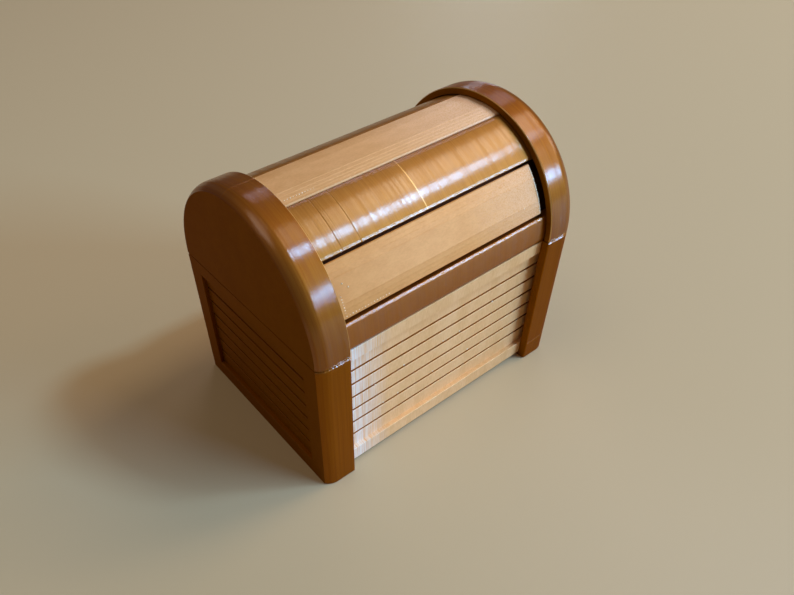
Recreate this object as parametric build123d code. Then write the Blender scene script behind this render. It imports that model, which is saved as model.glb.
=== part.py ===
from build123d import *
from math import acos, cos, degrees, radians, sin, sqrt
import os

os.makedirs("parts", exist_ok=True)

# A small printed puzzle box in the shape of a treasure chest.
# Sizes are in millimetres. X runs along the ridge, the front faces -Y, +Z is up.
# The origin is on the floor, under the middle of the chest.
# Angles on the arched lid start at the front seam, pass 90 at the ridge and end at 180.

# Outer form
length = 98.0  # over the flat outer faces of the two ends
cap_radius = 35.0  # arched caps, so each end is twice this deep
base_height = 49.5  # floor to the seam
seam_gap = 0.3  # between a lower end and its cap
end_thickness = 10.5  # one end, measured along X
crown_width = 4.0  # outer part of that thickness, which curves away
crown_drop = 1.7  # how far the curve has fallen where it meets the outer face
rim_ease = 0.4  # small bevel on edges that a hand meets

# Fits
seat_gap = 0.15  # round a glued tongue or tenon
slide_gap = 0.3  # round a piece that slides or swings
pin_fit = 0.02  # round the hinge pin where it is held fast
pin_play = 0.1  # round the hinge pin where it turns

# Planked fields, sunk into the ends and the panels
field_border = 7.8  # from the front or back of an end to its field
field_bottom = 6.1
field_depth = 1.4
top_band = 4.3  # of a panel, above its field
plank_count = 7
groove_width = 0.8
groove_depth = 0.7

# Front panel, back panel and floor
panel_recess = 2.8  # how far a panel lies inside the faces of the ends
panel_thickness = 3.4
panel_bottom = 1.2  # gap under a panel
panel_top_gap = 0.6  # from the top of a panel to the top of the lower ends
tongue = 2.5  # how far the panels and the floor run into the ends
floor_thickness = 3.0

# Arched lid
surface_drop = 2.25  # ribs and slats lie this far inside the rim of the caps
slat_thickness = 3.4
liner_thickness = 1.8
step_angle = 30.0  # one bar or one slat; the rails take what is left
joint_gap = 0.3  # between neighbouring ribs and slats
channel_depth = 5.8  # arched channel in each cap, which takes ribs, slats and liner

# Sliding slats
front_gap_below = 1.3  # between the front slat and the rail under it
front_gap_above = 0.9  # between the front slat and the bar above it
front_gap_right = 1.9  # at the right end of the front slat, at rest
lock_travel = 4.0  # front slat, to the right, into the locked place
free_travel = 0.8  # front slat, on to the left
slat_travel = 2.5  # top and rear slats, each way
peg_radius = 2.0
peg_depth = 1.8  # how far a stop peg is let into its slat
peg_head_radius = 3.2
peg_head_thickness = 1.3

# Latch under the front slat, and its catches
plate_thickness = 2.0  # of the plate and of the curved shoe on top of it
neck_length = 14.0
neck_width = 5.0
neck_tenon = 1.5  # how far the neck is let into the slat
lug_offset = 18.0  # of the middle of each lug from the middle of the plate
lug_length = 5.0
lug_height = 2.2
lug_reach = 2.4
catch_height = 2.7  # of the block that each lug slides under
catch_length = 6.0
catch_depth = 3.4  # how far it stands off the front panel

# Hinge
hinge_setback = 0.2  # of the hinge line behind the back of the ends
pin_radius = 0.875
knuckle_radius = 2.0
knuckle_count = 5
hinge_length = 60.0
knuckle_gap = 0.4
web_height = 3.6  # of the web that carries a knuckle, where it leaves its panel or rail
web_root = 1.2  # how far a web runs into its panel or rail

# Places that follow from the sizes
half_length = length / 2
inner_x = half_length - end_thickness
arch_z = base_height + seam_gap
panel_outer = cap_radius - panel_recess
panel_inner = panel_outer - panel_thickness
panel_top = base_height - panel_top_gap
field_top = panel_top - top_band
plank_pitch = (field_top - field_bottom) / plank_count
surface_radius = cap_radius - surface_drop
slat_inner = surface_radius - slat_thickness
liner_outer = slat_inner - slide_gap
liner_inner = liner_outer - liner_thickness
channel_end = inner_x + channel_depth
hinge_y = cap_radius + hinge_setback
hinge_z = base_height + seam_gap / 2
catch_low = panel_top - catch_height
catch_back = catch_depth - panel_inner
plate_front = catch_back + 2 * slide_gap
plate_back = plate_front + plate_thickness
shoe_outer = liner_inner - slide_gap
shoe_inner = shoe_outer - plate_thickness
peg_hole = slat_inner + peg_depth  # radius at which a stop peg ends

# Angles on the arch that follow from the sizes
half_joint = degrees(joint_gap / 2 / surface_radius)
top_angle = 90.0
rear_angle = top_angle + 2 * step_angle
rail_end = top_angle - 5 * step_angle / 2 - half_joint
bar_start = top_angle - 3 * step_angle / 2 + half_joint
bar_end = top_angle - step_angle / 2 - half_joint
front_start = rail_end + degrees(front_gap_below / surface_radius)
front_end = bar_start - degrees(front_gap_above / surface_radius)
neck_angle = (front_start + front_end) / 2
shoe_start = degrees(acos(-plate_front / shoe_outer))
shoe_end = neck_angle + degrees(neck_width / shoe_outer)


def block(x0, x1, y0, y1, z0, z1):
    """A box between two corners."""
    middle = Pos((x0 + x1) / 2, (y0 + y1) / 2, (z0 + z1) / 2)
    return middle * Box(x1 - x0, y1 - y0, z1 - z0)


def arch_point(radius, angle):
    """A point of the arch as (y, z)."""
    turn = radians(angle)
    return (-radius * cos(turn), arch_z + radius * sin(turn))


def arch_segment(inner, outer, start, end, x0, x1, ease=0.0):
    """A curved bar along X between two radii and two angles, its outer edges eased."""
    trim = degrees(ease / outer)
    shoulder = outer - ease
    middle = (start + end) / 2
    outer_start = arch_point(outer, start + trim)
    outer_end = arch_point(outer, end - trim)
    outline = [
        Line(arch_point(inner, start), arch_point(shoulder, start)),
        ThreePointArc(outer_start, arch_point(outer, middle), outer_end),
        Line(arch_point(shoulder, end), arch_point(inner, end)),
        ThreePointArc(arch_point(inner, end), arch_point(inner, middle), arch_point(inner, start)),
    ]
    if ease > 0:
        outline.append(Line(arch_point(shoulder, start), outer_start))
        outline.append(Line(outer_end, arch_point(shoulder, end)))
    return extrude(Plane.YZ.offset(x0) * make_face(outline), amount=x1 - x0)


def radial_place(angle):
    """Turns a piece that points at the front seam so that it points at an angle of the arch."""
    return Pos(0, 0, arch_z) * Rot(-angle, 0, 0)


def radial_block(angle, x0, x1, inner, outer, width):
    """A straight block that points out from the middle of the arch."""
    return radial_place(angle) * block(x0, x1, -outer, -inner, -width / 2, width / 2)


def radial_pin(angle, inner, outer, radius):
    """A round pin that points out from the middle of the arch."""
    pin = Pos(0, -(inner + outer) / 2, 0) * Rot(90, 0, 0) * Cylinder(radius, outer - inner)
    return radial_place(angle) * pin


def half_plan():
    """Front half of one end, seen from above: its outer edge is crowned."""
    front_corner = (inner_x, rim_ease - cap_radius)
    front_start = (inner_x + rim_ease, -cap_radius)
    crown_start = (half_length - crown_width, -cap_radius)
    crown_end = (half_length, crown_drop - cap_radius)
    outline = [
        Line((inner_x, 0), front_corner),
        Line(front_corner, front_start),
        Line(front_start, crown_start),
        TangentArc(crown_start, crown_end, tangent=(1, 0)),
        Line(crown_end, (half_length, 0)),
        Line((half_length, 0), (inner_x, 0)),
    ]
    return make_face(outline)


def plank_grooves(x0, x1, y0, y1):
    """Cutters for the level grooves between the planks of one field."""
    grooves = []
    for row in range(1, plank_count):
        level = field_bottom + row * plank_pitch
        grooves.append(block(x0, x1, y0, y1, level - groove_width / 2, level + groove_width / 2))
    return grooves


def panel_blank(side):
    """A panel's full board, with side -1 at the front and 1 at the back."""
    y0, y1 = sorted((side * panel_inner, side * panel_outer))
    return block(-inner_x - tongue, inner_x + tongue, y0, y1, panel_bottom, panel_top)


def planked_panel(side):
    """A panel whose bands at the top and bottom stand proud of a field of planks."""
    field_y = panel_outer - field_depth
    groove_y = field_y - groove_depth
    y0, y1 = sorted((side * field_y, side * panel_outer))
    field = block(-inner_x, inner_x, y0, y1, field_bottom, field_top)
    y0, y1 = sorted((side * groove_y, side * field_y))
    return panel_blank(side) - field - plank_grooves(-inner_x, inner_x, y0, y1)


def right_end_wall():
    """Lower right end, with a planked field outside and seats for the panels inside."""
    half = extrude(half_plan(), amount=base_height)
    wall = half + mirror(half, Plane.XZ)
    field_x = half_length - field_depth
    field_y = cap_radius - field_border
    wall -= block(field_x, half_length, -field_y, field_y, field_bottom, field_top)
    wall -= plank_grooves(field_x - groove_depth, field_x, -field_y, field_y)
    seat_x = inner_x + tongue + seat_gap
    low = panel_inner - seat_gap
    high = panel_outer + seat_gap
    seat_z = panel_bottom - seat_gap
    wall -= block(inner_x, seat_x, -high, -low, seat_z, base_height)
    wall -= block(inner_x, seat_x, low, high, seat_z, base_height)
    wall -= block(inner_x, seat_x, -low, low, 0, floor_thickness + seat_gap)
    return wall


def floor_plate():
    """The floor, which lies flush with the undersides of the ends."""
    reach_x = inner_x + tongue
    reach_y = panel_inner - seat_gap
    return block(-reach_x, reach_x, -reach_y, reach_y, 0, floor_thickness)


def knuckle_spans(first):
    """X ranges of every second knuckle of the hinge, starting at the first or the second."""
    pitch = hinge_length / knuckle_count
    starts = [-hinge_length / 2 + index * pitch for index in range(first, knuckle_count, 2)]
    return [(start + knuckle_gap / 2, start + pitch - knuckle_gap / 2) for start in starts]


def hinge_rod(radius, x0, x1):
    """A round rod on the hinge line."""
    return Pos((x0 + x1) / 2, hinge_y, hinge_z) * Rot(0, 90, 0) * Cylinder(radius, x1 - x0)


def knuckle(x0, x1, root, low, high):
    """One knuckle and its web, which runs into a board at root between two heights."""
    side = 1 if high > low else -1
    outline = Polyline(
        (root, low),
        (hinge_y, hinge_z),
        (hinge_y, hinge_z + side * knuckle_radius),
        (root, high),
        close=True,
    )
    web = extrude(Plane.YZ.offset(x0) * make_face(outline), amount=x1 - x0)
    return hinge_rod(knuckle_radius, x0, x1) + web


def back_panel():
    """The back panel, with the fixed knuckles of the hinge along its top edge."""
    panel = planked_panel(1)
    root = panel_outer - web_root
    for x0, x1 in knuckle_spans(0):
        panel += knuckle(x0, x1, root, panel_top, panel_top - web_height)
    return panel - hinge_rod(pin_radius + pin_fit, -hinge_length / 2, hinge_length / 2)


def latch_catch(lug_middle):
    """A block inside the front panel's top edge, just to the right of a lug at rest."""
    start = lug_middle + lug_length / 2 + slide_gap
    return block(start, start + catch_length, -panel_inner, catch_back, catch_low, panel_top)


def right_lid_cap():
    """Right half-round cap, with an arched channel in its inner face."""
    ridge_line = Axis((0, 0, arch_z), (-1, 0, 0))
    cap = revolve(Pos(0, 0, arch_z) * half_plan(), axis=ridge_line, revolution_arc=180)
    floor_r = liner_inner - seat_gap
    roof_r = surface_radius + slide_gap
    return cap - arch_segment(floor_r, roof_r, 0, 180, inner_x, channel_end)


def lid_rib(start, end):
    """A fixed rib of the lid, let into the channels of both caps."""
    reach = channel_end - seat_gap
    return arch_segment(liner_outer + seat_gap, surface_radius, start, end, -reach, reach, rim_ease)


def rear_rail():
    """The rear rail, with the moving knuckles of the hinge along its lower edge."""
    rail = lid_rib(180 - rail_end, 180)
    root = surface_radius - web_root
    for x0, x1 in knuckle_spans(1):
        rail += knuckle(x0, x1, root, arch_z, arch_z + web_height)
    return rail - hinge_rod(pin_radius + pin_play, -hinge_length / 2, hinge_length / 2)


def peg_slot(angle):
    """Cutter for the slot that a stop peg travels in."""
    reach = slat_travel + peg_radius + slide_gap
    width = 2 * (peg_radius + slide_gap)
    return radial_block(angle, -reach, reach, liner_inner - rim_ease, liner_outer + rim_ease, width)


def lid_liner():
    """The thin vault under the ribs and slats, with slots for the latch and the pegs."""
    reach = channel_end - seat_gap
    liner = arch_segment(liner_inner, liner_outer, 0, 180, -reach, reach)
    x0 = -neck_length / 2 - free_travel - slide_gap
    x1 = neck_length / 2 + lock_travel + slide_gap
    width = neck_width + 2 * slide_gap
    liner -= radial_block(neck_angle, x0, x1, shoe_inner, liner_outer + rim_ease, width)
    return liner - peg_slot(top_angle) - peg_slot(rear_angle)


def front_slat():
    """The slat that works the latch, drawn to the left with its right end in view."""
    x0 = -(channel_end - slide_gap - free_travel)
    x1 = inner_x - front_gap_right
    slat = arch_segment(slat_inner, surface_radius, front_start, front_end, x0, x1, rim_ease)
    half_neck = neck_length / 2 + seat_gap
    seat_top = slat_inner + neck_tenon + seat_gap
    width = neck_width + 2 * seat_gap
    return slat - radial_block(neck_angle, -half_neck, half_neck, shoe_inner, seat_top, width)


def latch_plate():
    """The plate behind the front rail: a shoe under the liner, a neck up to the slat, two lugs."""
    plate_x = lug_offset + lug_length / 2
    plate_top = arch_point(shoe_outer, shoe_start)[1]
    lug_top = catch_low - slide_gap
    lug_low = lug_top - lug_height
    half_neck = neck_length / 2
    neck_top = slat_inner + neck_tenon
    plate = block(-plate_x, plate_x, plate_front, plate_back, lug_low, plate_top)
    plate += arch_segment(shoe_inner, shoe_outer, shoe_start, shoe_end, -plate_x, plate_x)
    plate += radial_block(neck_angle, -half_neck, half_neck, shoe_inner, neck_top, neck_width)
    for middle in (-lug_offset, lug_offset):
        x0 = middle - lug_length / 2
        x1 = middle + lug_length / 2
        plate += block(x0, x1, plate_front - lug_reach, plate_front, lug_low, lug_top)
    return plate


def loose_slat(angle):
    """A slat that slides both ways about an angle, with a hole for its stop peg."""
    half_width = step_angle / 2 - half_joint
    reach = channel_end - slide_gap - slat_travel
    start, end = angle - half_width, angle + half_width
    slat = arch_segment(slat_inner, surface_radius, start, end, -reach, reach, rim_ease)
    return slat - radial_pin(angle, liner_inner, peg_hole + seat_gap, peg_radius + seat_gap)


def stop_peg(angle):
    """A headed peg that keeps a slat in its opening and stops it at both ends."""
    head_top = sqrt((liner_inner - slide_gap) ** 2 - peg_head_radius**2)
    head = radial_pin(angle, head_top - peg_head_thickness, head_top, peg_head_radius)
    return head + radial_pin(angle, head_top - rim_ease, peg_hole, peg_radius)


pieces = {
    "right_end_wall": right_end_wall(),
    "left_end_wall": mirror(right_end_wall(), Plane.YZ),
    "front_panel": planked_panel(-1),
    "back_panel": back_panel(),
    "floor_plate": floor_plate(),
    "left_catch": latch_catch(-lug_offset),
    "right_catch": latch_catch(lug_offset),
    "hinge_pin": hinge_rod(pin_radius, -hinge_length / 2, hinge_length / 2),
    "right_lid_cap": right_lid_cap(),
    "left_lid_cap": mirror(right_lid_cap(), Plane.YZ),
    "lid_liner": lid_liner(),
    "front_rail": lid_rib(0, rail_end),
    "front_bar": lid_rib(bar_start, bar_end),
    "rear_bar": lid_rib(180 - bar_end, 180 - bar_start),
    "rear_rail": rear_rail(),
    "front_slat": front_slat(),
    "latch_plate": latch_plate(),
    "top_slat": loose_slat(top_angle),
    "top_slat_peg": stop_peg(top_angle),
    "rear_slat": loose_slat(rear_angle),
    "rear_slat_peg": stop_peg(rear_angle),
}

for name, piece in pieces.items():
    export_step(piece, f"parts/{name}.step")
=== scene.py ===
import math

import bpy
import numpy as np
from mathutils import Matrix, Vector


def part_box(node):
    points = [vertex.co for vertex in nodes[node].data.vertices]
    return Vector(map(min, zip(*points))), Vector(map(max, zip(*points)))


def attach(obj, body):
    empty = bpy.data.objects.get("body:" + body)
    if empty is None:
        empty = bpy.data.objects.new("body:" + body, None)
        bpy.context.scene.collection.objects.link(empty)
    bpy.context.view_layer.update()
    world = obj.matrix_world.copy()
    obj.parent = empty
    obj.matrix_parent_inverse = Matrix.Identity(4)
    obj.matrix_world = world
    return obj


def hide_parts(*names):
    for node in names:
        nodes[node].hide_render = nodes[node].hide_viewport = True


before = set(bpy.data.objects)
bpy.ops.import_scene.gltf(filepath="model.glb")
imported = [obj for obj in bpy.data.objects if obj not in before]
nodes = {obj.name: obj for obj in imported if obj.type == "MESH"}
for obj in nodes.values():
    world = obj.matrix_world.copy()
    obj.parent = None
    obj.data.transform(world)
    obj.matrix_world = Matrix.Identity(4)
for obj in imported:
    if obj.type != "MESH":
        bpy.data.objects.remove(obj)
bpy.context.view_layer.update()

# Camera. A phone held in front of the left end, looking down at the chest. Its place, its axes
# and its lens were fitted to the chest's own edges. The photograph is a crop, hence the shift.
camera_place = (-0.1120, -0.1331, 0.1729)
camera_right = (0.7877, -0.6154, -0.0292)
camera_up = (0.4582, 0.5535, 0.6955)
camera_back = (-0.4119, -0.5612, 0.7179)
lens = bpy.data.cameras.new("camera")
lens.sensor_width = 36.0
lens.lens = 30.45
lens.shift_x = 0.0628
lens.shift_y = 0.0868
camera = bpy.data.objects.new("camera", lens)
camera_turn = Matrix((camera_right, camera_up, camera_back)).transposed().to_4x4()
camera.matrix_world = Matrix.Translation(camera_place) @ camera_turn
bpy.context.scene.collection.objects.link(camera)
bpy.context.scene.camera = camera
bpy.context.scene.view_settings.view_transform = "Standard"


# Studio. A pale table top, a dim warm room, and soft window panels. Each panel is aimed at
# the chest from the side where the photograph shows its reflection. All sizes are in metres.
def linear(hex_colour):
    """An sRGB hex colour as linear RGBA: the sRGB curve is undone channel by channel."""
    channels = [int(hex_colour[i:i + 2], 16) / 255 for i in (1, 3, 5)]
    return [c / 12.92 if c <= 0.04045 else ((c + 0.055) / 1.055) ** 2.4 for c in channels] + [1.0]


def bare_tree(holder):
    """Turns on the nodes of a material or a world and returns its tree with nothing in it."""
    holder.use_nodes = True
    holder.node_tree.nodes.clear()
    return holder.node_tree


def add_node(tree, kind, inputs=(), **settings):
    """Adds a node, sets its properties and fills its inputs with values or with other sockets."""
    node = tree.nodes.new(kind)
    for key, value in settings.items():
        setattr(node, key, value)
    for key, value in dict(inputs).items():
        if isinstance(value, bpy.types.NodeSocket):
            tree.links.new(value, node.inputs[key])
        else:
            node.inputs[key].default_value = value
    return node


table_reach = 3.0
table_corners = [(-table_reach, -table_reach, 0), (table_reach, -table_reach, 0),
                 (table_reach, table_reach, 0), (-table_reach, table_reach, 0)]
table_mesh = bpy.data.meshes.new("table")
table_mesh.from_pydata(table_corners, [], [(0, 1, 2, 3)])
table = bpy.data.objects.new("table", table_mesh)
bpy.context.scene.collection.objects.link(table)

# Matt paint: an even, pale ground that hardly reflects.
table_paint = bpy.data.materials.new("matte_table_paint")
tree = bare_tree(table_paint)
shader = add_node(tree, "ShaderNodeBsdfPrincipled", {
    "Base Color": linear("#CCB48A"), "Roughness": 0.5, "Specular IOR Level": 0.25})
add_node(tree, "ShaderNodeOutputMaterial", {"Surface": shader.outputs[0]})
table_mesh.materials.append(table_paint)

world = bpy.data.worlds.new("room")
tree = bare_tree(world)
room_glow = add_node(tree, "ShaderNodeBackground", {"Color": linear("#C4B4A2"), "Strength": 0.18})
add_node(tree, "ShaderNodeOutputWorld", {"Surface": room_glow.outputs[0]})
bpy.context.scene.world = world

# The panels face a point on the chest's own axis, this high above the table.
lamp_target_height = 0.05


def hang(light, place, turn):
    """Puts a light into the room at a place, turned by a rotation matrix."""
    lamp = bpy.data.objects.new(light.name, light)
    lamp.matrix_world = Matrix.Translation(place) @ turn.to_4x4()
    bpy.context.scene.collection.objects.link(lamp)


def window_panel(name, one_end, other_end, distance, height, power, colour):
    """A soft rectangular light facing the chest, its long side between two directions.

    Its width is the distance times the chord between the directions, and it faces their middle."""
    ends = np.array([one_end, other_end], float)
    ends /= np.linalg.norm(ends, axis=1, keepdims=True)
    chord = ends[1] - ends[0]
    along = chord / np.linalg.norm(chord)
    aim = ends.sum(axis=0) / np.linalg.norm(ends.sum(axis=0))
    panel = bpy.data.lights.new(name, "AREA")
    panel.shape = "RECTANGLE"
    panel.size = distance * np.linalg.norm(chord)
    panel.size_y = height
    panel.energy = power
    panel.color = linear(colour)[:3]
    turn = Matrix((along, np.cross(aim, along), aim)).transposed()
    hang(panel, aim * distance + (0, 0, lamp_target_height), turn)


# For each panel: the directions of its two ends as seen from the chest, its distance and its
# height in metres, its power in watts, and its colour.
for name, one_end, other_end, distance, height, power, colour in (
        ("low_window", (0.45, -0.83, 0.32), (0.71, -0.63, 0.32), 2.0, 0.24, 33.0, "#94C8FF"),
        ("high_window", (0.44, -0.38, 0.81), (0.56, -0.34, 0.755), 2.0, 0.22, 18.5, "#9CCAF8"),
        ("side_window", (0.93, -0.10, 0.35), (0.84, -0.38, 0.38), 2.0, 0.30, 3.0, "#FFF0E0"),
        ("back_window", (0.68, 0.72, 0.13), (0.80, 0.58, 0.13), 2.0, 0.11, 1.0, "#DDEBFF"),
        ("far_wall", (0.40, 0.70, 0.59), (0.71, 0.28, 0.65), 2.0, 0.22, 4.0, "#E4D8F0"),
        ("ceiling_glow", (0.42, -0.10, 0.90), (0.80, -0.06, 0.60), 2.0, 0.55, 8.6, "#FFE9CE"),
        ("far_window", (0.68, -0.24, 0.69), (0.80, -0.20, 0.56), 2.0, 0.12, 1.5, "#F0E8F0"),
        ("warm_fill", (0.45, -0.72, 0.52), (0.78, -0.42, 0.46), 1.8, 0.7, 3.0, "#FFD0B0"),
        ("room_fill", (-0.60, 0.00, 0.80), (-0.10, 0.30, 0.95), 1.8, 0.9, 4.3, "#F8EADC")):
    window_panel(name, one_end, other_end, distance, height, power, colour)

# A narrow beam gives the lower left corner of the front panel its silvery patch.
glint_place = Vector((0.16, -0.42, 0.14))
glint_aim = Vector((-0.031, -0.031, 0.010))
glint = bpy.data.lights.new("window_glint", "SPOT")
glint.energy = 5.5
glint.spot_size = math.radians(12)
glint.spot_blend = 1.0
glint.shadow_soft_size = 0.05
glint.color = linear("#94B8FF")[:3]
hang(glint, glint_place, (glint_place - glint_aim).to_track_quat("Z", "Y").to_matrix())


# Lower ends. Two thick slabs of silk copper filament, printed lying on their outer faces,
# so the layers stack along the ridge and show as fine upright lines on the posts.
# Each has a planked field outside, and seats inside for the panels and the floor.
mm = 0.001

# One layer of the print, how high its ridge stands, and the step that makes a corner sharp.
layer = 0.2 * mm
ridge_height = 0.011 * mm
hairline = 0.02 * mm


def shell(name, points, quads, polygons, smooth_below=22.0):
    """A mesh object from points, quads and larger polygons, smooth across edges under an angle."""
    loops = np.concatenate([quads.ravel()] + [np.asarray(p) for p in polygons])
    sizes = [4] * len(quads) + [len(p) for p in polygons]
    starts = np.concatenate([[0], np.cumsum(sizes)[:-1]])
    mesh = bpy.data.meshes.new(name)
    mesh.vertices.add(len(points))
    mesh.vertices.foreach_set("co", points.reshape(-1).astype(np.float32))
    mesh.loops.add(len(loops))
    mesh.loops.foreach_set("vertex_index", loops.astype(np.int32))
    mesh.polygons.add(len(starts))
    mesh.polygons.foreach_set("loop_start", starts.astype(np.int32))
    mesh.update(calc_edges=True)
    mesh.polygons.foreach_set("use_smooth", np.ones(len(starts), bool))
    mesh.set_sharp_from_angle(angle=math.radians(smooth_below))
    piece = bpy.data.objects.new(name, mesh)
    bpy.context.scene.collection.objects.link(piece)
    return piece


def tube_quads(index):
    """The quads between closed rows of points, from a grid that holds the number of each point."""
    across = np.roll(index, -1, axis=1)
    return np.stack([index[:-1], across[:-1], across[1:], index[1:]], axis=-1).reshape(-1, 4)


def carried(name, rings, smooth_below=22.0):
    """A solid whose closed outline is carried along a path, one row of points for each place.

    The outline runs anticlockwise when the path comes towards the eye."""
    index = np.arange(rings[..., 0].size).reshape(rings.shape[:2])
    both_ends = [index[0][::-1], index[-1]]
    return shell(name, rings.reshape(-1, 3), tube_quads(index), both_ends, smooth_below)


def dress(piece, body, slot, material, *replaced):
    """Gives a new piece its material and its body, and hides the nodes it replaces. slot is not
    used.
    """
    piece.data.materials.append(material)
    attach(piece, body)
    if replaced:
        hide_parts(*replaced)


def face_vectors(piece, kind):
    """The "center" or the "normal" of every face of a piece, one row for each face."""
    values = np.empty(3 * len(piece.data.polygons), np.float32)
    piece.data.polygons.foreach_get(kind, values)
    return values.reshape(-1, 3)


def finish_faces(piece, material, chosen):
    """Gives the chosen faces of a piece a material of their own."""
    mesh = piece.data
    finishes = np.empty(len(mesh.polygons), np.int32)
    mesh.polygons.foreach_get("material_index", finishes)
    finishes[chosen] = len(mesh.materials)
    mesh.materials.append(material)
    mesh.polygons.foreach_set("material_index", finishes)


def layer_dips(count, seed):
    """How far points lie below a surface where each layer is a rounded ridge of four points.

    The ridge falls by none, a third, all and a third of its height, which is a little uneven."""
    uneven = 0.85 + 0.3 * np.random.default_rng(seed).random(count // 4 + 1)
    return ridge_height * np.repeat(uneven, 4)[:count] * np.resize([0.0, 0.33, 1.0, 0.33], count)


# The rim of an end is crowned towards its outer face and rounded towards its inner one.
crown_width = 4.0 * mm
crown_drop = 1.7 * mm
edge_ease = 0.4 * mm


def rounded_edge():
    """A quarter circle of radius edge_ease as distances from both of the faces that it joins."""
    turn = np.radians(np.linspace(0, 90, 6))
    return edge_ease * (1 - np.cos(turn)), edge_ease * (1 - np.sin(turn))


def rim_profile(outer, inner, rim, seed):
    """The crowned edge of an end as (x, r), from its outer face to its inner face.

    The crown is an arc that leaves the rim level and stops at the outer face, and the dips
    between layers are taken off."""
    radius = (crown_width**2 + crown_drop**2) / (2 * crown_drop)
    from_outer = np.arange(0.5 * layer, abs(outer - inner) - edge_ease, 0.25 * layer)
    into_crown = np.clip(crown_width - from_outer, 0, None)
    r = rim - radius + np.sqrt(radius**2 - into_crown**2) - layer_dips(len(from_outer), seed)
    x = outer + np.sign(inner - outer) * from_outer
    sweep, climb = rounded_edge()
    inner_edge = np.column_stack([inner + np.sign(outer - inner) * sweep, rim - climb])
    return np.vstack([[(outer, rim - crown_drop)], np.column_stack([x, r]), inner_edge[::-1]])


# A planked field lies sunk between a border at either side, a band above and one below.
plank_count = 7
field_border = 7.8 * mm
field_bottom = 6.1 * mm
top_band = 4.3 * mm
field_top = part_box("front_panel")[1].z - top_band
field_depth = 1.4 * mm
plank_pitch = (field_top - field_bottom) / plank_count
groove_depth = 0.7 * mm
groove_half = 0.4 * mm
soft_edge = 0.08 * mm


def field_steps():
    """Heights and depths up a planked field: softened edges, and a groove between planks."""
    steps = [(field_bottom - soft_edge, 0.0), (field_bottom, soft_edge),
             (field_bottom + hairline, field_depth)]
    edge = [(groove_half + soft_edge, field_depth), (groove_half, field_depth + soft_edge),
            (groove_half - hairline, field_depth + groove_depth)]
    for plank in range(1, plank_count):
        level = field_bottom + plank * plank_pitch
        steps += [(level - away, depth) for away, depth in edge]
        steps += [(level + away, depth) for away, depth in edge[::-1]]
    return steps + [(field_top - hairline, field_depth), (field_top, soft_edge),
                    (field_top + soft_edge, 0.0)]


# Inside an end: the seats of the panels, open above seat_z, and the floor's slot below floor_z.
seat_gap = 0.15 * mm
seat_depth = 2.65 * mm
seat_z = 1.05 * mm
floor_z = 3.15 * mm

# Outside: the eased foot, the heights round a shifted layer, and the seam's ragged edge, which
# begins seam_height below the top and is drawn in by seam_inset, more or less.
foot_inset = 0.2 * mm
foot_height = 0.25 * mm
shift_start = 6.9 * mm
shift_step = 7.05 * mm
shift_end = 7.7 * mm
seam_height = 0.8 * mm
seam_bend = 0.42 * mm
seam_inset = 0.30 * mm
seam_spread = 0.07 * mm
seam_limits = (0.1 * mm, 0.4 * mm)
below_seam_spread = 0.03 * mm


def wall_rows(top, ledge, below_seam, at_seam):
    """Rows up an end, lowest first: a height, the field's depth there and how far the rim lies in.

    The foot and the seam edge are eased, and a shifted layer low down leaves a ledge."""
    rows = [(0.0, 0.0, foot_inset), (foot_height, 0.0, 0.0)]
    rows += [(z, 0.0, 0.0) for z in (seat_z, seat_z + hairline, floor_z, floor_z + hairline)]
    rows += [(z, depth, 0.0) for z, depth in field_steps()]
    rows += [(shift_start, field_depth, 0.0), (shift_step, field_depth, ledge),
             (shift_end, field_depth, 0.0)]
    rows += [(top - seam_height, 0.0, 0.0), (top - seam_bend, 0.0, below_seam),
             (top, 0.0, at_seam)]
    return sorted(rows, key=lambda row: row[0])


def end_wall(name, side, seed, ledge, rough):
    """One lower end: its plan outline carried up, row by row, with the field and seats let in.

    The outline runs over the field, round one rim and its seat, and back round the others.
    Of the six points on the face, the middle two sink with the field, and their neighbours
    only as far as its soft edge. ledge is how far the shifted layer lies in, and rough how
    ragged the seam is, from 0 to 1."""
    low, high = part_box(name)
    outer, inner = (high.x, low.x) if side > 0 else (-low.x, -high.x)
    field_y = high.y - field_border
    face_y = np.array([field_y + soft_edge, field_y, field_y - hairline])
    face_y = np.concatenate([-face_y, face_y[::-1]])
    panel_low, panel_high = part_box("front_panel")
    seat_x = inner + seat_depth
    seat_high, seat_low = seat_gap - panel_low.y, -seat_gap - panel_high.y
    edge = rim_profile(outer, inner, high.y, seed)
    seat = [(inner, seat_high), (seat_x, seat_high), (seat_x, seat_low), (inner, seat_low)]
    half = np.vstack([edge, seat])
    face = np.column_stack([np.full(len(face_y), outer), face_y])
    outline = np.vstack([face, half, half[::-1] * (1, -1)])
    count = len(outline)
    first_seat = len(face) + len(edge) + np.arange(4)
    second_seat = count + len(face) - 1 - first_seat
    outward = np.zeros(count)
    outward[len(face):len(face) + len(edge)] = 1
    outward[-len(edge):] = -1
    to_field, to_soft_edge = np.zeros(count), np.zeros(count)
    to_field[[2, 3]] = to_soft_edge[[1, 4]] = 1
    rng = np.random.default_rng(seed)
    by_layer = np.repeat(rng.standard_normal((2, count // 4 + 1)), 4, axis=1)[:, :count]
    at_seam = np.clip(seam_inset + seam_spread * rough * by_layer[0], *seam_limits)
    below_seam = below_seam_spread * rough * np.abs(by_layer[1])
    rings = []
    for z, depth, inset in wall_rows(high.z, ledge, below_seam, at_seam):
        ring = np.column_stack([outline, np.full(count, z)])
        ring[:, 0] -= to_field * depth + to_soft_edge * min(depth, soft_edge)
        ring[:, 1] -= outward * inset
        for mirror, corner in ((1, first_seat), (-1, second_seat)):
            if z <= seat_z:
                ring[corner[1], :2] = inner, mirror * seat_low
            if z <= floor_z:
                ring[corner[3], :2] = seat_x, mirror * (seat_low - hairline)
        rings.append(ring)
    rings = np.array(rings)
    return carried(name + "_print", rings if side > 0 else rings[:, ::-1] * (-1, 1, 1))


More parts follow.
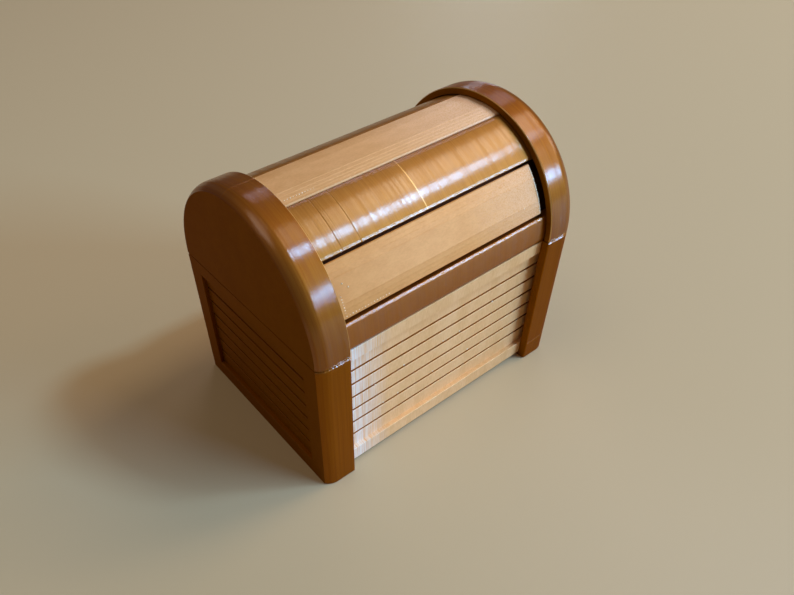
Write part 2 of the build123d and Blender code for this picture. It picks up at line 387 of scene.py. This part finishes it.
def grain(tree, size, detail=2.0):
    """Noise on the piece's own coordinates, its grains so many millimetres long on X, Y and Z."""
    place = add_node(tree, "ShaderNodeTexCoord")
    sized = add_node(tree, "ShaderNodeMapping", {
        "Vector": place.outputs["Object"], "Scale": [1 / (length * mm) for length in size]})
    return add_node(tree, "ShaderNodeTexNoise", {
        "Vector": sized.outputs[0], "Scale": 1.0, "Detail": detail}).outputs[0]


def silk_filament(name, dark, light, fine, broad, bump_height, shading, streaks=None):
    """Silk PLA: pearl pigment in clear plastic, so a soft metal under a thin gloss.

    fine and broad are grain sizes in millimetres. Lines run along the axes of the long sizes.
    Most of the noise lies between 0.38 and 0.62, so that is where the two colours lie.
    shading holds the shader's other inputs by name, and streaks is the grain size of the
    bands where the gloss is more or less full."""
    material = bpy.data.materials.new(name)
    tree = bare_tree(material)
    lines = grain(tree, fine)
    mixed = add_node(tree, "ShaderNodeMix", {
        "Factor": 0.5, "A": lines, "B": grain(tree, broad)}, data_type="FLOAT")
    ramp = add_node(tree, "ShaderNodeValToRGB", {"Fac": mixed.outputs[0]})
    for stop, (position, colour) in enumerate(((0.38, dark), (0.62, light))):
        ramp.color_ramp.elements[stop].position = position
        ramp.color_ramp.elements[stop].color = linear(colour)
    bump = add_node(tree, "ShaderNodeBump", {
        "Strength": 1.0, "Distance": bump_height, "Height": lines})
    finish = {**shading, "Base Color": ramp.outputs["Color"], "Normal": bump.outputs[0]}
    if streaks:
        gloss = add_node(tree, "ShaderNodeMapRange", {
            "Value": grain(tree, streaks, 3.0),
            "From Min": 0.36, "From Max": 0.64, "To Min": 0.35, "To Max": 1.0})
        finish["Coat Weight"] = gloss.outputs[0]
    shader = add_node(tree, "ShaderNodeBsdfPrincipled", finish)
    add_node(tree, "ShaderNodeOutputMaterial", {"Surface": shader.outputs[0]})
    return material


# One layer is too fine to show, so its lines are drawn about two layers wide.
layer_lines, layer_bands, layer_streaks = (0.38, 100, 100), (1.1, 33, 33), (0.43, 33, 33)
line_bump = 0.004 * mm

# Pearl filament under a clear gloss: a warm sheen along the layers, with streaked highlights.
pearl_gloss = {"Metallic": 0.75, "Roughness": 0.53, "Specular IOR Level": 0.2,
               "Specular Tint": linear("#D8A060"), "Coat Roughness": 0.15, "Coat IOR": 1.55}
end_silk = silk_filament("silk_copper_layers_upright", "#8E4E12", "#9A5C18",
                         layer_lines, layer_bands, line_bump, pearl_gloss, layer_streaks)

# The same print on the straight posts, where little of the gloss shows: deeper and more golden, as
# painted shade.
post_silk = silk_filament("silk_copper_layers_posts", "#8E5004", "#9A5A08",
                          layer_lines, layer_bands, line_bump,
                          {"Metallic": 0.8, "Roughness": 0.5, "Specular IOR Level": 0.1,
                           "Specular Tint": linear("#CC9430"), "Coat Weight": 0.12,
                           "Coat Roughness": 0.15})

# Faces pressed flat on the printer's bed: no lines and dull; their dark brown is painted shade.
bed_face_painted_shade = silk_filament("silk_copper_bed_face", "#844E02", "#8A5404",
                         (1.1, 1.1, 1.1), (8.3, 8.3, 8.3), 0.002 * mm,
                         {"Metallic": 0.4, "Roughness": 0.55, "Specular IOR Level": 0.06,
                          "Specular Tint": linear("#B87434")})


def square_to_ridge(piece):
    """Which faces of a piece lie square to the ridge, as the printer's bed did."""
    return np.abs(face_vectors(piece, "normal")[:, 0]) > 0.9


for name, side, seed, ledge, rough in (("left_end_wall", -1, 11, 0.0, 1.0),
                                       ("right_end_wall", 1, 12, 0.06 * mm, 0.25)):
    wall = end_wall(name, side, seed, ledge, rough)
    dress(wall, "chest", "copper_end", post_silk, name)
    # Painted shade: the faces square to the ridge get the dark brown bed finish.
    finish_faces(wall, bed_face_painted_shade, square_to_ridge(wall))
    # Sloping faces, such as the eased edge at the seam, have the full gloss of the caps.
    slope = np.abs(face_vectors(wall, "normal")[:, 2])
    finish_faces(wall, end_silk, (slope > 0.3) & (slope < 0.8) & ~square_to_ridge(wall))


# Arched caps. The upper ends, printed like the lower ones on their outer faces.
# An arched channel in each inner face holds the ribs, and the seam edge is a little ragged.
arch_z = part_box("right_lid_cap")[0].z
channel_depth = 5.8 * mm
channel_roof = 33.05 * mm
channel_floor = 27.1 * mm

# Rows of a cap in degrees: those nearest to the seam, and those across the print's own seam.
near_seam = np.array([0.0, 0.25, 0.55, 0.85, 1.6])
across_scar = np.array([95.1, 95.3, 95.7, 95.9])
scar_height = 0.05 * mm
ragged_rows = ((0, 0.2 * mm), (3, 0.09 * mm), (-4, 0.09 * mm), (-1, 0.2 * mm))


def arch_points(x, r, angle):
    """Points at x, at a radius and an angle in degrees about the ridge line, all as arrays."""
    x, r, turn = np.broadcast_arrays(x, r, np.radians(angle))
    return np.stack([x, -r * np.cos(turn), arch_z + r * np.sin(turn)], axis=-1)


def arched_cap(name, side, seed):
    """A cap: the rim's profile turned half round the ridge line and closed by flat faces.

    The ragged rows are drawn in at random, layer by layer. The scar behind the ridge is where
    the nozzle changed layers: it is sunk on the right cap and raised on the left."""
    low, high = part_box(name)
    outer, inner = (high.x, low.x) if side > 0 else (-low.x, -high.x)
    edge = rim_profile(outer, inner, high.y, seed)
    channel_x = inner + channel_depth
    profile = np.vstack([edge, [(inner, channel_roof), (channel_x, channel_roof),
                                (channel_x, channel_floor), (inner, channel_floor)]])
    angles = np.sort(np.concatenate([near_seam, np.linspace(2.5, 177.5, 126), across_scar,
                                     180 - near_seam]))
    rng = np.random.default_rng(seed)
    r = np.tile(profile[:, 1], (len(angles), 1))
    for row, amount in ragged_rows:
        by_layer = np.repeat(rng.standard_normal(len(edge) // 4 + 1), 4)[:len(edge)]
        r[row, :len(edge)] -= amount * np.clip(1 + 0.5 * by_layer, 0.1, 2)
    on_scar = np.isin(angles, across_scar[1:-1])
    r[np.ix_(on_scar, np.arange(len(edge)))] -= scar_height * side
    points = arch_points(side * profile[:, 0], r, angles[:, None])
    index = np.arange(r.size).reshape(r.shape)
    quads = np.stack([index[:-1, :-1], index[1:, :-1], index[1:, 1:], index[:-1, 1:]], axis=-1)
    quads = quads.reshape(-1, 4)
    polygons = [index[::-1, 0], index[:, -1], np.concatenate([index[0], index[-1][::-1]])]
    if side < 0:
        quads, polygons = quads[:, ::-1], [p[::-1] for p in polygons]
    return shell(name + "_print", points.reshape(-1, 3), quads, polygons)


# A paler, brighter line of the same filament: one layer across the front bar, and a painted
# highlight along the caps' inner edges.
bright_layer_and_edge_highlight = silk_filament("silk_copper_bright_layer", "#D09848", "#DCA858",
                             (0.77, 83, 83), (2.9, 40, 40), 0.006 * mm,
                             {"Metallic": 0.6, "Roughness": 0.45, "Coat Weight": 0.8,
                              "Coat Roughness": 0.2})
for name, side, seed in (("left_lid_cap", -1, 21), ("right_lid_cap", 1, 22)):
    cap = arched_cap(name, side, seed)
    dress(cap, "lid", "copper_end", end_silk, name)
    finish_faces(cap, bed_face_painted_shade, square_to_ridge(cap))
    # The rounded inner edge of the rim gets one bright line: a painted highlight.
    middles = face_vectors(cap, "center")
    from_ridge = np.hypot(middles[:, 1], middles[:, 2] - arch_z)
    inwards = -side * face_vectors(cap, "normal")[:, 0]
    inner_edge = (inwards > 0.2) & (inwards < 0.93) & (from_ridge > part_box(name)[1].y - edge_ease)
    finish_faces(cap, bright_layer_and_edge_highlight, inner_edge)


# Front and back panels. Light boards printed face up, planked like the ends,
# and let into the seats of both ends without glue showing.
def panel_board(name, side):
    """A panel: its planked section carried along the ridge, from the end of one tongue to the other.

    The planks run on into the seats, so a dark gap as deep as the field shows beside the posts."""
    low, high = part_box("front_panel")
    outer, inner = -low.y, -high.y
    steps = np.array([(low.z + soft_edge, 0.0)] + field_steps() + [(high.z - soft_edge, 0.0)])
    face = np.column_stack([outer - steps[:, 1], steps[:, 0]])
    board = [(outer - soft_edge, low.z), (inner, low.z), (inner, high.z),
             (outer - soft_edge, high.z)]
    section = np.vstack([face[::-1], board])
    rings = np.array([np.column_stack([np.full(len(section), x), section * (-1, 1)])
                      for x in (low.x, high.x)])
    if side > 0:
        rings = rings[:, ::-1] * (1, -1, 1)
    return carried(name + "_print", rings)


def painted_sheen_zone(material, colour, full_x, none_x, size):
    """Paints sheen: mixes a paler colour in, as grain that fades out from one place along X to
    another.

    The weight of the colour is the grain, stretched from 0.3 to 0.6, times the fade."""
    tree = material.node_tree
    shader = tree.nodes["Principled BSDF"]
    place = add_node(tree, "ShaderNodeTexCoord")
    along = add_node(tree, "ShaderNodeSeparateXYZ", {"Vector": place.outputs["Object"]})
    fade = add_node(tree, "ShaderNodeMapRange", {
        "Value": along.outputs["X"], "From Min": full_x, "From Max": none_x,
        "To Min": 1.0, "To Max": 0.0})
    lines = add_node(tree, "ShaderNodeMapRange", {
        "Value": grain(tree, size), "From Min": 0.3, "From Max": 0.6})
    weight = add_node(tree, "ShaderNodeMath", {0: fade.outputs[0], 1: lines.outputs[0]},
                      operation="MULTIPLY")
    before = shader.inputs["Base Color"].links[0].from_socket
    mixed = add_node(tree, "ShaderNodeMix", {0: weight.outputs[0], 6: before, 7: linear(colour)},
                     data_type="RGBA")
    tree.links.new(mixed.outputs[2], shader.inputs["Base Color"])


# Top skins of pale filament, brushed by the nozzle's paths: satin, with faint upright lines.
# The front one turns silvery towards its left end: painted sheen. Its real lines are too fine to
# show.
front_print, panel_print = [
    silk_filament(name, "#F0B674", "#FCC688", (0.45, 1.1, 2.0), (4.2, 3.3, 17), line_bump,
                  {"Metallic": 0.2, "Roughness": 0.5, "Specular IOR Level": 0.4})
    for name in ("brushed_copper_front", "brushed_copper_panel")]
# Painted sheen: pale lines that fade out from the front panel's left end.
painted_sheen_zone(front_print, "#FFF8EC", -38.0 * mm, -22.0 * mm, (0.42, 17, 17))

# Groove walls and floors: rough, and much darker than the skin, which is painted shade in the
# grooves.
groove_painted_shade = silk_filament("copper_grooves_painted_shade", "#B06418", "#BA6E20",
                             (17, 17, 0.4), (11, 11, 2.0), 0.003 * mm,
                             {"Metallic": 0.3, "Roughness": 0.6, "Specular IOR Level": 0.1})
panel_face = -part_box("front_panel")[0].y
field_middle, field_half = (field_top + field_bottom) / 2, (field_top - field_bottom) / 2
for name, side, finish in (("front_panel", -1, front_print), ("back_panel", 1, panel_print)):
    panel = panel_board(name, side)
    dress(panel, "chest", "copper_panel", finish, name)
    middles = face_vectors(panel, "center")
    below_face = panel_face - np.abs(middles[:, 1]) - field_depth
    in_field = np.abs(middles[:, 2] - field_middle) < field_half
    in_groove = (below_face > soft_edge) & (below_face < groove_depth + hairline)
    # Painted shade: the faces inside the grooves get the darker material.
    finish_faces(panel, groove_painted_shade, in_groove & in_field)


# Ribs. Curved bars of the same silk filament, printed standing on one end,
# so fine rings cross them. Both ends are glued into the channels of the caps.
surface_radius = -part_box("front_rail")[0].y
rib_inner = 29.2 * mm
rib_bevel = 0.62 * mm
mark_width = 0.16 * mm

# Angles run up the arch in degrees. Ribs and slats take turns, a step each and half a step for
# the rails, and every rib stops joint_half short of where its step ends.
step_angle = 30.0
joint_half = math.degrees(0.15 * mm / surface_radius)
rail_end = 90 - 2.5 * step_angle - joint_half
bar_start, bar_end = 90 - 1.5 * step_angle + joint_half, 90 - 0.5 * step_angle - joint_half


def rib_section(start, end, low_fall, high_fall):
    """A rib's section as (radius, angle): an outer arc, an inner arc and soft outer edges.

    Each edge falls away across the bevel at its own slope in degrees, and then rounds over."""
    across_bevel = np.array([0.12, 0.88, 1.0])
    sweep, climb = 0.5 * np.array(rounded_edge())
    sides = []
    for limit, sign, fall in ((end, -1, high_fall), (start, 1, low_fall)):
        drop = rib_bevel * math.tan(math.radians(fall))
        away = np.concatenate([sweep, sweep[-1] + rib_bevel * across_bevel])
        depth = np.concatenate([climb + drop, drop * (1 - across_bevel)])
        sides.append(np.column_stack([surface_radius - depth,
                                      limit + sign * np.degrees(away / surface_radius)]))
    top = np.linspace(sides[0][-1, 1], sides[1][-1, 1], 16)[1:-1]
    under = np.linspace(start, end, 6)
    return np.vstack([sides[0], np.column_stack([np.full(len(top), surface_radius), top]),
                      sides[1][::-1], np.column_stack([np.full(len(under), rib_inner), under])])


def rib(name, start, end, falls, seed, marks):
    """A rib: its section carried along the ridge, drawn in by the dip between layers.

    At a mark, a place and a depth in millimetres, the layers lie lower by a bell curve."""
    low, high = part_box(name)
    section = rib_section(start, end, *falls)
    outside = section[:, 0] > rib_inner
    places = np.linspace(low.x, high.x, 4 * round((high.x - low.x) / layer) + 1)
    dips = layer_dips(len(places), seed)
    for place, depth in marks:
        dips += depth * mm * np.exp(-((places - place * mm) / mark_width) ** 2)
    return carried(name + "_print", arch_points(
        places[:, None], section[:, 0] - np.outer(dips, outside), section[:, 1]))


# The bars' gloss is as on the caps, but the rings cross them and the filament looks lighter.
rib_silk = silk_filament("silk_copper_layers_crossways", "#A26A2A", "#AE7634",
                         layer_lines, layer_bands, line_bump, pearl_gloss, layer_streaks)

# The rails face the room and not the windows: redder, and with a little less gloss.
rail_silk = silk_filament("silk_copper_layers_rails", "#A05C1A", "#A8641E",
                          layer_lines, layer_bands, line_bump,
                          {**pearl_gloss, "Roughness": 0.5, "Coat IOR": 1.5}, layer_streaks)

# Sunken layers on the front bar, and its one bright layer, where the photograph shows them.
bar_marks = ((-34.0, 0.015), (-31.0, 0.04), (-29.6, 0.012), (-25.0, 0.04), (-14.0, 0.012),
             (7.0, 0.012), (22.0, 0.012))
bright_place = -2.3 * mm
for name, start, end, falls, seed, marks in (
        ("front_rail", 0.0, rail_end, (12, 20), 31, ((-12.0, 0.012), (21.0, 0.01))),
        ("front_bar", bar_start, bar_end, (11, 15), 32, bar_marks),
        ("rear_bar", 180 - bar_end, 180 - bar_start, (15, 11), 33, ((14.0, 0.03), (-20.0, 0.02))),
        ("rear_rail", 180 - rail_end, 180.0, (20, 12), 34, ((9.0, 0.02),))):
    piece = rib(name, start, end, falls, seed, marks)
    dress(piece, "lid", "copper_rib", rail_silk if "rail" in name else rib_silk, name)
    if name == "front_bar":
        from_bright = np.abs(face_vectors(piece, "center")[:, 0] - bright_place)
        finish_faces(piece, bright_layer_and_edge_highlight, from_bright < 0.75 * layer)


# Hinge. Knuckles stand on the back panel and on the rear rail in turn,
# and a length of plain filament runs through them as the pin.
hinge_y = 35.2 * mm
hinge_z = 49.65 * mm
hinge_length = 60.0 * mm
knuckle_count = 5
knuckle_radius = 2.0 * mm
knuckle_gap = 0.4 * mm
knuckle_ease = 0.15 * mm
web_root = 1.2 * mm
web_height = 3.6 * mm

# Radii of the bores: the chest's knuckles hold the pin, and the lid's turn on it.
fixed_bore = 0.895 * mm
turning_bore = 0.975 * mm
slit_half = 0.005 * math.pi


def knuckle(name, place, root, low, high, bore):
    """A barrel and its web as one outline carried along the hinge, its bore opened by a slit.

    Angles run round the hinge line from the web's lower edge to the slit below the bore, back
    round the bore, and on from the slit to the top. Both ends are eased: the points outside
    the bore move a little towards the hinge line."""
    side = 1 if high > low else -1
    bottom, top = 1.5 * math.pi, 2.5 * math.pi
    begin = math.atan2(side * (low - hinge_z), root - hinge_y)
    first = np.linspace(begin, bottom - slit_half, 16)
    hole = np.linspace(bottom - 2 * slit_half, 2 * slit_half - 0.5 * math.pi, 28)
    second = np.linspace(bottom + slit_half, top, 24)
    turn = np.concatenate([first, hole, second])
    radius = np.repeat([knuckle_radius, bore, knuckle_radius],
                       [len(first), len(hole), len(second)])
    round_part = np.column_stack([hinge_y + radius * np.cos(turn),
                                  hinge_z + side * radius * np.sin(turn)])
    outline = np.vstack([[(root, low)], round_part, [(root, high)]])[::side]
    pitch = hinge_length / knuckle_count
    start = place * pitch - hinge_length / 2 + knuckle_gap / 2
    stop = start + pitch - knuckle_gap
    rings = []
    for x, inset in ((start, knuckle_ease), (start + knuckle_ease, 0),
                     (stop - knuckle_ease, 0), (stop, knuckle_ease)):
        ring = np.column_stack([np.full(len(outline), x), outline])
        barrel = np.hypot(ring[:, 1] - hinge_y, ring[:, 2] - hinge_z) > 1.5 * bore
        middle = np.array([x, hinge_y, hinge_z])
        ring[barrel] += (middle - ring[barrel]) * inset / (2 * knuckle_radius)
        rings.append(ring)
    return carried(name, np.array(rings), 20.0)


panel_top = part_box("front_panel")[1].z
for place in range(knuckle_count):
    if place % 2 == 0:
        barrel = knuckle("back_knuckle_%d" % place, place, panel_face - web_root,
                         panel_top, panel_top - web_height, fixed_bore)
        dress(barrel, "chest", "copper_panel", panel_print)
    else:
        barrel = knuckle("rail_knuckle_%d" % place, place, surface_radius - web_root,
                         arch_z, arch_z + web_height, turning_bore)
        dress(barrel, "lid", "copper_rib", rib_silk)


# Slats. Light boards printed lying flat, so their arched tops are fine terraces one layer
# high that run the whole length. The front one is drawn to the left and shows its right end.
slat_inner = 29.35 * mm

# A tread leans and falls by most of its layer, and the riser beside it takes the rest.
tread_start = 0.15 * layer
tread_end = 0.85 * layer
riser_foot = 0.06 * mm
riser_head = 0.04 * mm

# Distances from a slat's end, each with how far the top lies lower there.
slat_ends = ((0.0, 0.3 * mm), (0.15 * mm, 0.08 * mm), (0.5 * mm, 0.0))


def slat_section(start, end):
    """A slat's section as (radius, angle): treads one layer apart that follow the arc in steps.

    A tread ends where the arc has fallen by one more layer below the middle of the slat."""
    middle, half = math.radians((start + end) / 2), math.radians((end - start) / 2)
    reach = surface_radius * math.sin(half)
    drops = np.arange(12) * layer
    begins = np.sqrt(surface_radius**2 - (surface_radius - drops)**2)
    on_slat = begins < reach - edge_ease
    begins, drops = begins[on_slat], drops[on_slat]
    stops = np.append(begins[1:], reach - 0.5 * edge_ease)
    away = np.column_stack([begins + riser_foot, stops - riser_head]).ravel()[1:]
    height = (surface_radius - np.column_stack([drops + tread_start,
                                                drops + tread_end])).ravel()[1:]
    rim = height[-1] - edge_ease
    away = np.concatenate([[reach], away[::-1], -away, [-reach]])
    height = np.concatenate([[rim], height[::-1], height, [rim]])
    top = np.column_stack([np.hypot(away, height), np.degrees(middle + np.arctan2(away, height))])
    under = np.linspace(start, end, 8)
    return np.vstack([top, np.column_stack([np.full(len(under), slat_inner), under])])


def slat(name, start, end):
    """A slat: its terraced section carried along the ridge, with its ends rounded over."""
    low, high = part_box(name)
    section = slat_section(start, end)
    outside = section[:, 0] > slat_inner + 0.1 * mm
    from_end, drop = np.array(slat_ends).T
    places = np.concatenate([low.x + from_end, high.x - from_end[::-1]])
    drops = np.concatenate([drop, drop[::-1]])
    return carried(name + "_print", arch_points(
        places[:, None], section[:, 0] - np.outer(drops, outside), section[:, 1]), 20.0)


# Satin tops with a fine grain along the slat. The grain of the real print is too fine to show,
# so it is drawn 0.4 mm wide. Both tones turn paler and speckled towards their right ends: painted
# sheen.
slat_shading = {"Metallic": 0.15, "Roughness": 0.52, "Specular IOR Level": 0.35}
slat_lines, slat_bands, slat_speckle = (0.9, 0.4, 0.4), (5.0, 2.5, 2.5), (0.38, 0.38, 0.38)
slat_print = silk_filament("brushed_copper_slat", "#DC944A", "#E69F54",
                           slat_lines, slat_bands, 0.005 * mm, slat_shading)
pale_slat_print = silk_filament("brushed_copper_slat_pale", "#E4A866", "#EEB474",
                                slat_lines, slat_bands, 0.005 * mm, slat_shading)
# Painted sheen: both slat tones pale out towards their right ends.
painted_sheen_zone(slat_print, "#F0BA88", 38.0 * mm, 8.0 * mm, slat_speckle)
painted_sheen_zone(pale_slat_print, "#FCCCA0", 38.0 * mm, -4.0 * mm, slat_speckle)

# The gaps below and above the front slat are wider than the other joints, as in the photograph.
front_start = rail_end + math.degrees(1.3 * mm / surface_radius)
front_end = bar_start - math.degrees(0.9 * mm / surface_radius)
top_start = bar_end + 2 * joint_half
rear_start = 180 - bar_start + 2 * joint_half
for name, body, start, end, finish in (
        ("front_slat", "front_slider", front_start, front_end, slat_print),
        ("top_slat", "top_slider", top_start, 180 - top_start, pale_slat_print),
        ("rear_slat", "rear_slider", rear_start, 180 - rail_end - 2 * joint_half,
         pale_slat_print)):
    dress(slat(name, start, end), body, "copper_slat", finish, name)


# Print specks. Small blobs and cut strings of filament that the nozzle left on the planks of
# the front panel and on two slats, and the bead of its last pass at the front slat's right end.
def specks(name, centres, radius, seed):
    """Pebbles: three rings of points on small uneven balls, closed by a point at either pole."""
    lift, turn = np.meshgrid(np.radians([-50, 0, 50]), np.radians(np.arange(0, 360, 45)),
                             indexing="ij")
    ball = np.stack([np.cos(lift) * np.cos(turn), np.cos(lift) * np.sin(turn), np.sin(lift)],
                    axis=-1)
    ball = np.vstack([ball.reshape(-1, 3), [(0, 0, -1), (0, 0, 1)]])
    sizes = radius * (0.6 + 0.8 * np.random.default_rng(seed).random((len(centres), 1, 3)))
    points = centres[:, None] + sizes * ball
    index = np.arange(lift.size).reshape(lift.shape)
    after = np.roll(index, -1, axis=1)
    lower_pole = np.full_like(index[0], lift.size)
    caps = np.vstack([np.stack([after[0], index[0], lower_pole], axis=-1),
                      np.stack([index[-1], after[-1], lower_pole + 1], axis=-1)])
    first = len(ball) * np.arange(len(centres))[:, None, None]
    return shell(name, points.reshape(-1, 3), (first + tube_quads(index)).reshape(-1, 4),
                 list((first + caps).reshape(-1, 3)), 80.0)


# Nearly white: a painted highlight on each blob, and the gloss adds a small sharp one.
speck_painted_highlight = silk_filament("specks_painted_highlight", "#FFE6BC", "#FFF0D0",
                            (1.1, 1.1, 1.1), (3.3, 3.3, 3.3), 0.002 * mm,
                            {"Metallic": 0.1, "Roughness": 0.3})

# Places on the panel, in millimetres along the ridge and up.
plank_places = np.array([(-27, 27.8), (-16, 29), (0, 29), (7, 29), (-25.5, 18), (-24, 18),
                         (-18, 18), (-3.5, 18), (12, 18), (-30.5, 38.6), (21, 33.4)]) * mm
plank_y = np.full(len(plank_places), field_depth - panel_face)
plank_centres = np.column_stack([plank_places[:, 0], plank_y, plank_places[:, 1]])
dress(specks("panel_specks", plank_centres, 0.25 * mm, 41), "chest", "copper_panel", speck_painted_highlight)

# Places on the slats, in millimetres along the ridge and degrees up the arch: single blobs,
# a row of them along the lower edge, and one up the left end.
slat_places = [(-35.0, 33.0), (-33.6, 30.5), (30.0, 24.0)]
slat_places += [(x, 18.4) for x in np.arange(-37.5, -22.0, 1.0)]
slat_places += [(-36.6, angle) for angle in np.arange(20.0, 29.0, 1.3)]
top_places = [(x, 78.4) for x in np.arange(-37.3, -27.0, 0.9)]
for name, body, places, seed in (("slat_specks", "front_slider", slat_places, 42),
                                 ("top_slat_specks", "top_slider", top_places, 43)):
    x, angle = np.array(places).T
    centres = arch_points(x * mm, surface_radius - 0.1 * mm, angle)
    dress(specks(name, centres, 0.2 * mm, seed), body, "copper_slat", speck_painted_highlight)

# The bead is a close row of specks across the slat. Its margin and its pitch are in degrees.
bead_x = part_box("front_slat")[1].x - 0.45 * mm
bead_margin = 1.5
bead_pitch = 0.45
bead_angles = np.arange(front_start + bead_margin, front_end - bead_margin, bead_pitch)
bead_centres = arch_points(bead_x, surface_radius - 0.12 * mm, bead_angles)
dress(specks("slat_end_bead", bead_centres, 0.22 * mm, 44), "front_slider", "copper_slat",
      speck_painted_highlight)


# Inner pieces. The vault under the lid, the floor, the latch, its catches, the pegs and the pin
# come from the CAD model as they are, in a darker colour that is painted shade: the look that the
# filament has out of the light.
inner_print = silk_filament("shaded_copper_inside", "#4A2608", "#5A300C",
                            (40, 0.67, 0.67), (8.3, 2.5, 2.5), 0.01 * mm,
                            {"Metallic": 0.3, "Roughness": 0.45, "Specular IOR Level": 0.3})
for name in ("lid_liner", "floor_plate", "latch_plate", "left_catch", "right_catch",
             "top_slat_peg", "rear_slat_peg", "hinge_pin"):
    nodes[name].material_slots[0].material = inner_print
